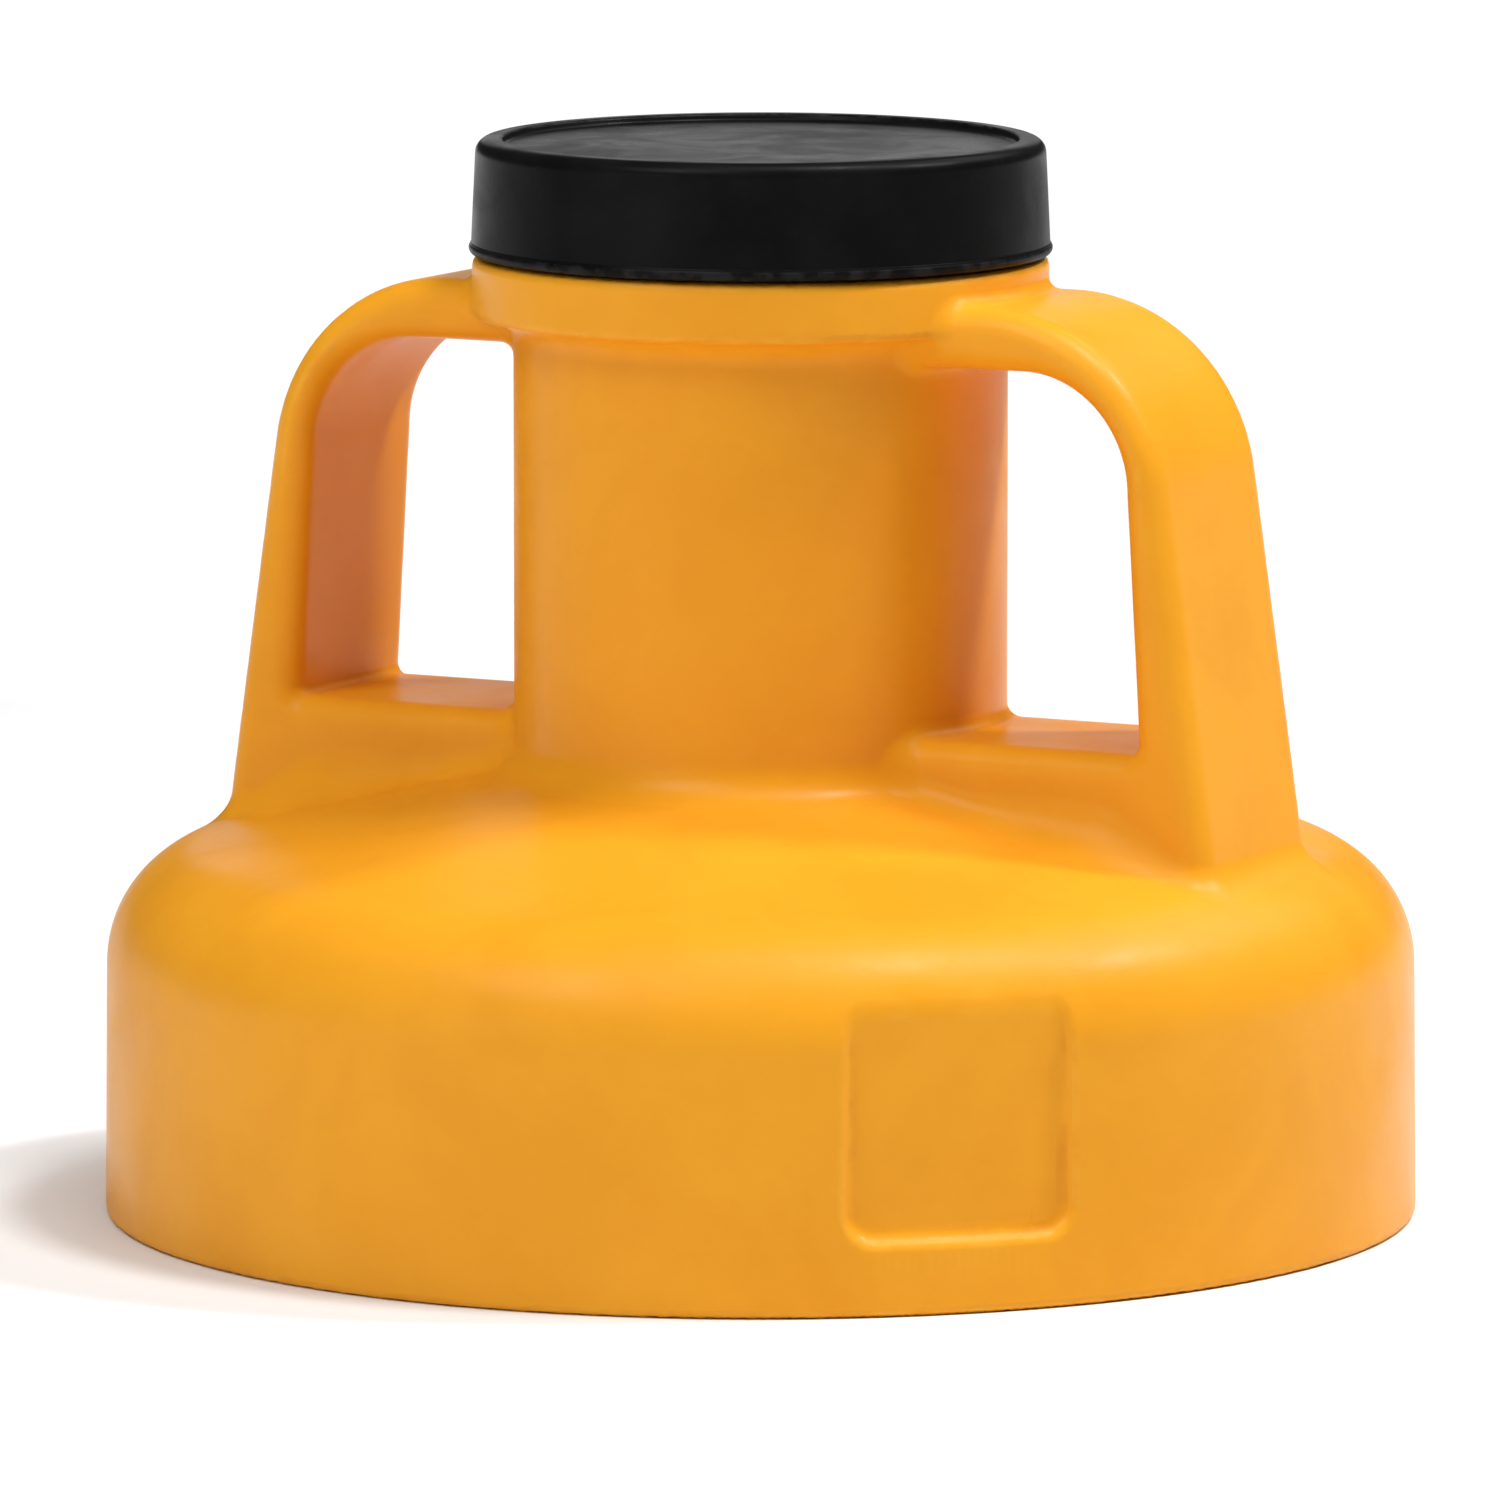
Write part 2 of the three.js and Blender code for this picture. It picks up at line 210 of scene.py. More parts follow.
def handle_outline():
    """The strap from the flange round the bend and down the leg, and the saddle, as (x, height)."""
    lean = math.atan(LEG_OUTER_LEAN)
    bend = (LEG_TOP_OUTER_X - HANDLE_BEND_R * math.cos(lean), HANDLE_TOP_Z - HANDLE_BEND_R)
    corner = (LEG_TOP_INNER_X - WINDOW_CORNER_R, WINDOW_TOP_Z - WINDOW_CORNER_R)
    bottom_x = LEG_TOP_OUTER_X + (LEG_TOP_Z - LEG_BOTTOM_Z) * LEG_OUTER_LEAN
    floor_x = LEG_TOP_INNER_X + (LEG_TOP_Z - WINDOW_FLOOR_Z) * LEG_INNER_LEAN
    floor_corner = (floor_x - WINDOW_FLOOR_CORNER_R, WINDOW_FLOOR_Z + WINDOW_FLOOR_CORNER_R)
    return [
        (HANDLE_ROOT_X, HANDLE_TOP_Z),
        (HANDLE_ROOT_X, WINDOW_TOP_Z),
        *arc(corner, WINDOW_CORNER_R, math.pi / 2, 0, 30),
        *arc(floor_corner, WINDOW_FLOOR_CORNER_R, 0, -math.pi / 2, 6),
        (HANDLE_ROOT_X, WINDOW_FLOOR_Z),
        (HANDLE_ROOT_X, LEG_BOTTOM_Z),
        (bottom_x, LEG_BOTTOM_Z),
        *arc(bend, HANDLE_BEND_R, lean, math.pi / 2, 40),
    ]


def cap_outline():
    """The cap's shell as (radius, height), from its ceiling's middle round to its top's middle."""
    quarter = math.pi / 2
    ceiling_z = LINER_TOP_Z + GAP
    floor_z = CAP_TOP_Z - CAP_RECESS
    rim_inner = CAP_TOP_R - CAP_RIM_WIDTH
    corner_r, mouth_r, fillet_r, rim_r = 0.6, 0.4, 0.3, 0.5
    wall_top, wall_bottom = ceiling_z - corner_r, CAP_BOTTOM_Z + mouth_r
    wall = [(CAP_INNER_R, z) for z in np.linspace(wall_top, wall_bottom, 60)[1:-1]]
    hem = (CAP_R - CAP_HEM_EDGE_R, CAP_BOTTOM_Z + CAP_HEM_EDGE_R)
    hem_fillet = (CAP_SIDE_R + fillet_r, CAP_BOTTOM_Z + CAP_HEM_HEIGHT)
    return [
        *((r, ceiling_z) for r in (0, 8, 16, 24, 30)),
        *arc((CAP_INNER_R - corner_r, wall_top), corner_r, quarter, 0, 5),
        *wall,
        *arc((CAP_INNER_R + mouth_r, wall_bottom), mouth_r, 2 * quarter, 3 * quarter, 5),
        *arc(hem, CAP_HEM_EDGE_R, -quarter, quarter / 2, 10),
        *arc(hem_fillet, fillet_r, 2.5 * quarter, 2 * quarter, 5),
        *arc((CAP_TOP_R - CAP_EDGE_R, CAP_TOP_Z - CAP_EDGE_R), CAP_EDGE_R, 0, quarter, 14),
        *arc((rim_inner + rim_r, CAP_TOP_Z - rim_r), rim_r, quarter, 1.7 * quarter, 6),
        *arc((rim_inner - corner_r, floor_z + corner_r), corner_r, -0.3 * quarter, -quarter, 6),
        *((r, floor_z) for r in (28, 22, 16, 8, 0)),
    ]


# --- Signed distances -----------------------------------------------------------------------------------


class Section:
    """Signed distance to a closed outline, tabulated on a fine grid and read by interpolation."""

    def __init__(self, outline, low, high, step=0.25):
        self.low = np.array(low, float)
        self.step = step
        self.shape = np.ceil((np.array(high) - low) / step).astype(int) + 1
        u, v = np.meshgrid(*(self.low[i] + step * np.arange(self.shape[i]) for i in (0, 1)), indexing="ij")
        nearest = np.full(u.shape, 1e9)
        inside = np.zeros(u.shape, bool)
        points = np.array(outline, float)
        for (au, av), (bu, bv) in zip(points, np.roll(points, -1, axis=0)):
            du, dv = bu - au, bv - av
            length2 = du * du + dv * dv
            if length2 < 1e-12:
                continue
            along = np.clip(((u - au) * du + (v - av) * dv) / length2, 0, 1)
            nearest = np.minimum(nearest, (u - au - along * du) ** 2 + (v - av - along * dv) ** 2)
            if dv:
                crosses = ((v >= av) != (v >= bv)) & (u < au + (v - av) * du / dv)
                inside ^= crosses
        self.table = (np.sqrt(nearest) * np.where(inside, -1, 1)).astype(np.float32)

    def __call__(self, u, v):
        fu = np.clip((u - self.low[0]) / self.step, 0, self.shape[0] - 1.001)
        fv = np.clip((v - self.low[1]) / self.step, 0, self.shape[1] - 1.001)
        iu, iv = fu.astype(np.int32), fv.astype(np.int32)
        fu, fv = fu - iu, fv - iv
        t = self.table
        lower = t[iu, iv] * (1 - fu) + t[iu + 1, iv] * fu
        upper = t[iu, iv + 1] * (1 - fu) + t[iu + 1, iv + 1] * fu
        return lower * (1 - fv) + upper * fv


def smooth_step(low, high, value):
    t = np.clip((value - low) / (high - low), 0, 1)
    return t * t * (3 - 2 * t)


def fillet_union(a, b, radius):
    """Joins two solids with a round fillet where they meet."""
    u, v = np.maximum(radius - a, 0), np.maximum(radius - b, 0)
    return np.maximum(radius, np.minimum(a, b)) - np.hypot(u, v)


def round_overlap(a, b, radius):
    """What two solids share, with the edge between them rounded."""
    u, v = np.maximum(radius + a, 0), np.maximum(radius + b, 0)
    return np.minimum(-radius, np.maximum(a, b)) + np.hypot(u, v)


def plate(flat, side, edge_radius):
    """A flat outline's distance extruded to a thickness, with round edges."""
    f, s = flat + edge_radius, side + edge_radius
    return np.hypot(np.maximum(f, 0), np.maximum(s, 0)) + np.minimum(np.maximum(f, s), 0) - edge_radius


def ridge(x, y, z, out, height, start_z, start_turn, turns, pitch):
    """A thread's ridge. out is how far a point lies out of the wall that carries it."""
    around = np.mod(np.arctan2(y, x) / TURN - start_turn, 1)
    wind = np.clip(np.round((z - start_z) / pitch - around), 0, np.floor(turns - around))
    travelled = around + wind
    fade = smooth_step(0, THREAD_RUN_OUT, travelled) * smooth_step(0, THREAD_RUN_OUT, turns - travelled)
    tall = height * fade - 0.4 * (1 - fade)
    root_half, crest_half = pitch * THREAD_ROOT_SHARE / 2, pitch * THREAD_CREST_SHARE / 2
    slope = (root_half - crest_half) / height
    half = root_half - slope * out
    flank = (np.abs(z - start_z - pitch * travelled) - half) / math.hypot(1, slope)
    past_end = np.maximum(travelled - turns, 0) * 100
    return round_overlap(flank, out - tall, 0.3) + past_end


OUTSIDE = Section(outside_outline(), (0, -8), (90, 134))
INSIDE = Section(inside_outline(), (0, -8), (90, 134))
HANDLE = Section(handle_outline(), (0, 30), (76, 122))


def label_recess(x, y, z, radius):
    """The space that the label recess takes out of the collar."""
    across = y * math.cos(LABEL_ANGLE) - x * math.sin(LABEL_ANGLE)
    facing = x * math.cos(LABEL_ANGLE) + y * math.sin(LABEL_ANGLE)
    floor_r = COLLAR_R - LABEL_DEPTH
    spread = LABEL_WALL_SLOPE * np.clip(radius - floor_r, -1, LABEL_DEPTH + 1)
    half_height = 40
    u = np.abs(across) - LABEL_HALF_WIDTH + LABEL_CORNER_R
    v = np.abs(z - LABEL_BOTTOM_Z - half_height) - half_height + LABEL_CORNER_R
    window = np.hypot(np.maximum(u, 0), np.maximum(v, 0)) + np.minimum(np.maximum(u, v), 0) - LABEL_CORNER_R
    window = (window - spread) / math.hypot(1, LABEL_WALL_SLOPE)
    recess = round_overlap(window, floor_r - radius, 0.7)
    return np.where(facing > 0, recess, 50.0)


def lid_distance(x, y, z):
    """Signed distance to the moulded lid."""
    radius = np.hypot(x, y)
    side_x = np.abs(x)
    body = OUTSIDE(radius, z)
    strap = plate(HANDLE(side_x, z), np.abs(y) - HANDLE_WIDTH / 2, HANDLE_EDGE_R)
    low_down = 1 - smooth_step(WINDOW_FLOOR_Z - 4, WINDOW_FLOOR_Z + 1, z)
    inboard = 1 - smooth_step(FLARE_FULL_X, FLARE_END_X, side_x)
    flare = np.maximum(FLARE_TOP_Z - dome_z(side_x), FOOT_BLEND_R)
    low_blend = FOOT_BLEND_R + (flare - FOOT_BLEND_R) * inboard
    body = fillet_union(body, strap, STRAP_BLEND_R + (low_blend - STRAP_BLEND_R) * low_down)
    neck_thread = ridge(x, y, z, radius - NECK_R, CAP_THREAD_HEIGHT, NECK_THREAD_Z, 0,
                        CAP_THREAD_TURNS, CAP_PITCH)
    body = fillet_union(body, neck_thread, 0.35)
    body = round_overlap(body, -INSIDE(radius, z), 0.5)
    body = round_overlap(body, -label_recess(x, y, z, radius), 0.6)
    collar_thread = ridge(x, y, z, COLLAR_R - WALL - radius, COLLAR_THREAD_HEIGHT, COLLAR_THREAD_Z, 0,
                          COLLAR_THREAD_TURNS, COLLAR_PITCH)
    collar_thread = np.maximum(collar_thread, radius - COLLAR_R + WALL - 1)
    return fillet_union(body, collar_thread, 0.5)


# --- Meshing --------------------------------------------------------------------------------------------


def sample_field(distance, low, high, step):
    """Distances on a grid: exact near the surface, and only the right sign elsewhere."""
    counts = np.ceil((np.array(high) - low) / (step * BLOCK)).astype(int)
    blocks = np.argwhere(np.ones(counts, bool))
    centres = low + (blocks + 0.5) * BLOCK * step
    coarse = distance(*centres.T)
    signs = np.where(coarse.reshape(counts) > 0, 9, -9).astype(np.float32)
    field = np.pad(signs.repeat(BLOCK, 0).repeat(BLOCK, 1).repeat(BLOCK, 2), ((0, 1),) * 3, mode="edge")
    near = blocks[np.abs(coarse) < 1.35 * BLOCK * step]
    local = np.argwhere(np.ones((BLOCK + 1,) * 3, bool))
    for some in np.array_split(near, max(1, len(near) // 1500)):
        spots = (some[:, None, :] * BLOCK + local[None]).reshape(-1, 3)
        field[tuple(spots.T)] = distance(*(low + spots * step).T)
    return field


def surface_net(field, low, step):
    """Vertices and quads of the surface where the field changes sign, one vertex to a cell."""
    inside = field < 0
    cells_shape = np.array(field.shape) - 1
    corners = np.argwhere(np.ones((2, 2, 2), bool))
    filled = np.zeros(cells_shape, np.uint8)
    for i, j, k in corners:
        filled += inside[i:i + cells_shape[0], j:j + cells_shape[1], k:k + cells_shape[2]]
    mixed = (filled > 0) & (filled < 8)
    cells = np.argwhere(mixed)
    number = np.full(cells_shape, -1, np.int32)
    number[mixed] = np.arange(len(cells))
    values = np.stack([field[tuple((cells + c).T)] for c in corners], axis=1)
    total = np.zeros((len(cells), 3))
    hits = np.zeros(len(cells))
    for a in range(8):
        for b in range(a + 1, 8):
            if np.abs(corners[a] - corners[b]).sum() != 1:
                continue
            crossing = (values[:, a] < 0) != (values[:, b] < 0)
            va, vb = values[crossing, a], values[crossing, b]
            share = (va / (va - vb))[:, None]
            total[crossing] += corners[a] + share * (corners[b] - corners[a])
            hits[crossing] += 1
    vertices = low + step * (cells + total / hits[:, None])
    quads = []
    for axis in range(3):
        u, v = (axis + 1) % 3, (axis + 2) % 3
        ahead = [slice(None)] * 3
        behind = [slice(None)] * 3
        ahead[axis], behind[axis] = slice(1, None), slice(None, -1)
        starts = inside[tuple(behind)]
        edges = np.argwhere(starts != inside[tuple(ahead)])
        edges = edges[(edges[:, u] > 0) & (edges[:, v] > 0)]
        step_u, step_v = np.eye(3, dtype=int)[u], np.eye(3, dtype=int)[v]
        ring = [edges - step_u - step_v, edges - step_v, edges, edges - step_u]
        quad = np.stack([number[tuple(c.T)] for c in ring], axis=1)
        leaving = starts[tuple(edges.T)]
        quad[~leaving] = quad[~leaving][:, ::-1]
        quads.append(quad)
    return vertices, np.concatenate(quads)


def gradient(distance, points, reach=0.05):
    """Direction in which the distance grows, at each point."""
    parts = []
    for axis in range(3):
        offset = np.eye(3)[axis] * reach
        parts.append(distance(*(points + offset).T) - distance(*(points - offset).T))
    return np.stack(parts, axis=1) / (2 * reach)


def settle(distance, points, rounds=3):
    """Moves points onto the surface."""
    for _ in range(rounds):
        slope = gradient(distance, points)
        steep = np.maximum((slope ** 2).sum(1), 0.3)
        move = slope * (distance(*points.T) / steep)[:, None]
        points = points - np.clip(move, -0.5, 0.5)
    return points


def new_mesh(name, points, faces):
    """A mesh from numpy arrays of points in mm and faces of equal size."""
    mesh = bpy.data.meshes.new(name)
    sides = faces.shape[1]
    mesh.vertices.add(len(points))
    mesh.vertices.foreach_set("co", (points * MM).astype(np.float32).ravel())
    mesh.loops.add(faces.size)
    mesh.loops.foreach_set("vertex_index", faces.astype(np.int32).ravel())
    mesh.polygons.add(len(faces))
    mesh.polygons.foreach_set("loop_start", np.arange(len(faces), dtype=np.int32) * sides)
    mesh.update(calc_edges=True)
    mesh.validate()
    return mesh


def new_object(name, mesh):
    piece = bpy.data.objects.new(name, mesh)
    bpy.context.scene.collection.objects.link(piece)
    return piece


def baked(piece):
    """The piece with its modifiers applied to its mesh."""
    evaluated = piece.evaluated_get(bpy.context.evaluated_depsgraph_get())
    mesh = bpy.data.meshes.new_from_object(evaluated)
    piece.modifiers.clear()
    old = piece.data
    piece.data = mesh
    bpy.data.meshes.remove(old)
    mesh.name = piece.name
    return piece


def thinned(piece, faces):
    """Replaces the piece's mesh by one with about that many triangles."""
    count = len(piece.data.polygons) * 2
    if count <= faces:
        return
    modifier = piece.modifiers.new("thin", "DECIMATE")
    modifier.ratio = faces / count
    baked(piece)


def moulded(name, distance, low, high, step, faces):
    """A piece meshed from its signed distance, with exact normals and a bend attribute for edge wear and
    painted corner shade.
    """
    field = sample_field(distance, np.array(low, float), high, step)
    points, quads = surface_net(field, np.array(low, float), step)
    points = settle(distance, points)
    piece = new_object(name, new_mesh(name, points, quads))
    thinned(piece, faces)
    mesh = piece.data
    points = np.empty(len(mesh.vertices) * 3, np.float32)
    mesh.vertices.foreach_get("co", points)
    points = settle(distance, points.reshape(-1, 3).astype(float) / MM, 2)
    mesh.vertices.foreach_set("co", (points * MM).astype(np.float32).ravel())
    mesh.update()
    mesh.polygons.foreach_set("use_smooth", np.ones(len(mesh.polygons), bool))
    slope = gradient(distance, points, 0.12)
    normals = slope / np.maximum(np.linalg.norm(slope, axis=1), 1e-6)[:, None]
    mesh.normals_split_custom_set_from_vertices(normals.tolist())
    reach = 0.7
    bend = -6 * distance(*points.T)
    for axis in range(3):
        for sign in (-1, 1):
            bend += distance(*(points + sign * reach * np.eye(3)[axis]).T)
    attribute = mesh.attributes.new("bend", "FLOAT", "POINT")
    attribute.data.foreach_set("value", np.clip(bend / reach, -1, 1).astype(np.float32))
    return piece


def cap_thread(angle, radius, z):
    """How far the cap's ridge stands in from the wall at a point of the wall."""
    start_z = NECK_THREAD_Z - CAP_THREAD_DROP + CAP_THREAD_LEAD_IN * CAP_PITCH
    around = np.mod(angle / TURN - CAP_THREAD_LEAD_IN, 1)
    wind = np.clip(np.round((z - start_z) / CAP_PITCH - around), 0, np.floor(CAP_THREAD_TURNS - around))
    travelled = around + wind
    fade = smooth_step(0, THREAD_RUN_OUT, travelled)
    fade = fade * smooth_step(0, THREAD_RUN_OUT, CAP_THREAD_TURNS - travelled)
    offset = np.abs(z - start_z - CAP_PITCH * travelled)
    root_half, crest_half = CAP_PITCH * THREAD_ROOT_SHARE / 2, CAP_PITCH * THREAD_CREST_SHARE / 2
    shape = 1 - smooth_step(crest_half * 0.8, root_half, offset)
    on_wall = np.abs(radius - CAP_INNER_R) < 0.01
    return np.where(on_wall, CAP_THREAD_HEIGHT * shape * fade, 0)


def revolved(name, outline, segments, inset=None):
    """A closed profile of (radius, height) in mm, revolved into a closed solid.

    Points on the axis are joined. inset(angle, radius, z) says how far each point moves in towards the axis.
    """
    profile = np.array(outline, float)
    angles = np.arange(segments) * TURN / segments
    angle, radius = np.meshgrid(angles, profile[:, 0], indexing="ij")
    height = np.broadcast_to(profile[:, 1], radius.shape)
    moved = radius - inset(angle, radius, height) if inset else radius
    points = np.stack([moved * np.cos(angle), moved * np.sin(angle), height], axis=2).reshape(-1, 3)
    count = len(profile)
    i, j = np.meshgrid(np.arange(segments), np.arange(count), indexing="ij")
    here, there = i * count, (i + 1) % segments * count
    up = (j + 1) % count
    faces = np.stack([here + j, there + j, there + up, here + up], axis=2).reshape(-1, 4)
    piece = new_object(name, new_mesh(name, points, faces))
    mesh = piece.data
    mesh.polygons.foreach_set("use_smooth", np.ones(len(mesh.polygons), bool))
    ahead = np.roll(profile, -1, axis=0) - profile
    behind = profile - np.roll(profile, 1, axis=0)
    cross = behind[:, 0] * ahead[:, 1] - behind[:, 1] * ahead[:, 0]
    lengths = np.hypot(*ahead.T) + np.hypot(*behind.T)
    turn = np.arctan2(cross, (ahead * behind).sum(1)) / np.maximum(lengths, 0.05)
    attribute = mesh.attributes.new("bend", "FLOAT", "POINT")
    attribute.data.foreach_set("value", np.tile(np.clip(turn, -1, 1), segments).astype(np.float32))
    joined = bmesh.new()
    joined.from_mesh(mesh)
    bmesh.ops.remove_doubles(joined, verts=joined.verts, dist=MERGE_DISTANCE)
    joined.to_mesh(mesh)
    joined.free()
    piece.modifiers.new("even", "WEIGHTED_NORMAL")
    return baked(piece)


# --- Materials ------------------------------------------------------------------------------------------


class Material:
    """A node material with a Principled shader, and short ways to add texture nodes to it."""

    def __init__(self, name):
        self.data = bpy.data.materials.new(name)
        self.data.use_nodes = True
        self.nodes = self.data.node_tree.nodes
        self.links = self.data.node_tree.links
        self.shader = self.nodes["Principled BSDF"]
        self.place = self.nodes.new("ShaderNodeTexCoord").outputs["Object"]

    def set(self, **values):
        for name, value in values.items():
            self.shader.inputs[name.replace("_", " ")].default_value = value

    def link(self, output, node_input):
        self.links.new(output, node_input)

    def noise(self, per_metre, detail, roughness, distortion=0.0):
        node = self.nodes.new("ShaderNodeTexNoise")
        node.inputs["Scale"].default_value = per_metre
        node.inputs["Detail"].default_value = detail
        node.inputs["Roughness"].default_value = roughness
        node.inputs["Distortion"].default_value = distortion
        self.link(self.place, node.inputs["Vector"])
        return node.outputs["Fac"]

    def attribute(self, name):
        node = self.nodes.new("ShaderNodeAttribute")
        node.attribute_name = name
        return node.outputs["Fac"]

    def ramp(self, value, low, high, out_low=0.0, out_high=1.0):
        """The value mapped smoothly from low..high to out_low..out_high."""
        node = self.nodes.new("ShaderNodeMapRange")
        node.interpolation_type = "SMOOTHSTEP"
        levels = {"From Min": low, "From Max": high, "To Min": out_low, "To Max": out_high}
        for name, number in levels.items():
            node.inputs[name].default_value = number
        self.link(value, node.inputs["Value"])
        return node.outputs["Result"]

    def maths(self, operation, a, b):
        node = self.nodes.new("ShaderNodeMath")
        node.operation = operation
        for socket, value in zip(node.inputs, (a, b)):
            if isinstance(value, (int, float)):
                socket.default_value = value
            else:
                self.link(value, socket)
        return node.outputs["Value"]

    def mix(self, factor, a, b):
        """Colour a turned into colour b by the factor."""
        node = self.nodes.new("ShaderNodeMix")
        node.data_type = "RGBA"
        self.link(factor, node.inputs["Factor"])
        for socket, value in ((node.inputs[6], a), (node.inputs[7], b)):
            if isinstance(value, tuple):
                socket.default_value = (*value, 1)
            else:
                self.link(value, socket)
        return node.outputs[2]

    def bump(self, layers):
        """Stacks bumps, each (height output, depth in metres, strength)."""
        normal = None
        for height, depth, strength in layers:
            node = self.nodes.new("ShaderNodeBump")
            node.inputs["Distance"].default_value = depth
            node.inputs["Strength"].default_value = strength
            self.link(height, node.inputs["Height"])
            if normal:
                self.link(normal, node.inputs["Normal"])
            normal = node.outputs["Normal"]
        self.link(normal, self.shader.inputs["Normal"])


def lid_plastic():
    """Yellow-orange moulded polyethylene: satin, faintly grained and mottled, paler where it is rubbed, and
    darkened by painted shade in its concave corners.
    """
    m = Material("lid_plastic")
    m.set(Specular_IOR_Level=0.13, IOR=1.5)
    m.shader.inputs["Subsurface Weight"].default_value = 0.03
    m.shader.inputs["Subsurface Radius"].default_value = (1.0, 0.5, 0.1)
    m.shader.inputs["Subsurface Scale"].default_value = 0.0015
    base, deep, pale = (0.85, 0.36, 0.018), (0.80, 0.325, 0.014), (0.88, 0.42, 0.04)
    clouds = m.ramp(m.noise(38, 4, 0.55, distortion=0.4), 0.35, 0.7)
    colour = m.mix(clouds, base, deep)
    on_edges = m.ramp(m.attribute("bend"), 0.18, 0.7)
    rubbed = m.maths("MULTIPLY", on_edges, m.ramp(m.noise(220, 5, 0.6), 0.38, 0.62))
    colour = m.mix(m.maths("MULTIPLY", rubbed, 0.45), colour, pale)
    # Painted shade: concave corners and creases are darkened in patches towards a deeper orange.
    in_corners = m.ramp(m.attribute("bend"), -0.15, -0.6)
    painted_corner_shade = m.maths("MULTIPLY", in_corners, m.ramp(m.noise(90, 4, 0.6), 0.4, 0.7))
    colour = m.mix(m.maths("MULTIPLY", painted_corner_shade, 0.5), colour, (0.62, 0.2, 0.012))
    m.link(colour, m.shader.inputs["Base Color"])
    handled = m.ramp(m.noise(55, 5, 0.6, distortion=0.8), 0.3, 0.75, 0.3, 0.44)
    m.link(m.maths("ADD", handled, m.maths("MULTIPLY", rubbed, 0.08)), m.shader.inputs["Roughness"])
    m.bump([
        (m.noise(45, 2, 0.4), 0.0006, 0.12),
        (m.noise(900, 3, 0.6), 0.00006, 0.35),
        (m.noise(3200, 2, 0.5), 0.00002, 0.4),
    ])
    return m.data


def cap_plastic():
    """Black polypropylene: satin, with fine moulding grain and light rub marks on the edges."""
    m = Material("cap_plastic")
    m.set(Specular_IOR_Level=0.05, IOR=1.49)
    clouds = m.ramp(m.noise(60, 4, 0.6), 0.35, 0.7)
    colour = m.mix(clouds, (0.004, 0.004, 0.0042), (0.007, 0.007, 0.0072))
    on_edges = m.ramp(m.attribute("bend"), 0.25, 0.9)
    rubbed = m.maths("MULTIPLY", on_edges, m.ramp(m.noise(400, 5, 0.65), 0.42, 0.6))
    colour = m.mix(m.maths("MULTIPLY", rubbed, 0.5), colour, (0.035, 0.035, 0.036))
    m.link(colour, m.shader.inputs["Base Color"])
    handled = m.ramp(m.noise(70, 5, 0.6, distortion=0.6), 0.3, 0.75, 0.26, 0.42)
    m.link(m.maths("ADD", handled, m.maths("MULTIPLY", rubbed, 0.12)), m.shader.inputs["Roughness"])
    m.bump([
        (m.noise(1100, 3, 0.6), 0.00005, 0.35),
        (m.noise(4000, 2, 0.5), 0.00002, 0.4),
    ])
    return m.data


def liner_foam():
    """Off-white foamed polyethylene: matt, with fine closed cells."""
    m = Material("liner_foam")
    colour = m.mix(m.ramp(m.noise(120, 4, 0.6), 0.35, 0.7), (0.72, 0.7, 0.64), (0.62, 0.59, 0.52))
    m.link(colour, m.shader.inputs["Base Color"])
    m.link(m.ramp(m.noise(600, 3, 0.6), 0.3, 0.7, 0.7, 0.9), m.shader.inputs["Roughness"])
    m.bump([(m.noise(2600, 2, 0.5), 0.00012, 0.6)])
    return m.data


def gasket_rubber():
    """Black nitrile rubber: matt, slightly greasy in patches."""
    m = Material("gasket_rubber")
    colour = m.mix(m.ramp(m.noise(80, 4, 0.6), 0.35, 0.7), (0.012, 0.012, 0.012), (0.02, 0.019, 0.018))
    m.link(colour, m.shader.inputs["Base Color"])
    m.link(m.ramp(m.noise(70, 5, 0.6), 0.3, 0.7, 0.5, 0.75), m.shader.inputs["Roughness"])
    m.bump([(m.noise(1500, 3, 0.6), 0.00008, 0.5)])
    return m.data


def floor_paint():
    """Pale studio floor."""
    m = Material("floor_paint")
    colour = m.mix(m.ramp(m.noise(6, 3, 0.5), 0.3, 0.7), (0.88, 0.88, 0.88), (0.86, 0.86, 0.865))
    m.link(colour, m.shader.inputs["Base Color"])
    m.set(Roughness=0.8, Specular_IOR_Level=0.2)
    return m.data


# --- Pieces ---------------------------------------------------------------------------------------------


def add_piece(piece, node, body, material):
    piece.data.materials.clear()
    piece.data.materials.append(material)
    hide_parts(node)
    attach(piece, body)


def make_lid():
    reach = COLLAR_R + 1.6
    piece = moulded("lid_moulding", lid_distance, (-reach, -reach, -1.6), (reach, reach, LIP_Z + 1.6),
                    LID_STEP, LID_FACES)
    add_piece(piece, "lid_body", "lid", lid_plastic())


def make_cap():
    piece = revolved("cap_moulding", cap_outline(), 288, cap_thread)
    add_piece(piece, "pour_cap", "cap", cap_plastic())


def make_liner():
    """A flat disc with soft edges."""
    edge_r = 0.3
    low, high = LINER_BOTTOM_Z, LINER_TOP_Z
    quarter = math.pi / 2
    outline = [
        *((r, low) for r in (0, 6, 12, 18, 24)),
        *arc((LINER_R - edge_r, low + edge_r), edge_r, -quarter, 0, 4),
        *arc((LINER_R - edge_r, high - edge_r), edge_r, 0, quarter, 4),
        *((r, high) for r in (24, 18, 12, 6, 0)),
    ]
    add_piece(revolved("liner_disc", outline, 160), "cap_liner", "liner", liner_foam())


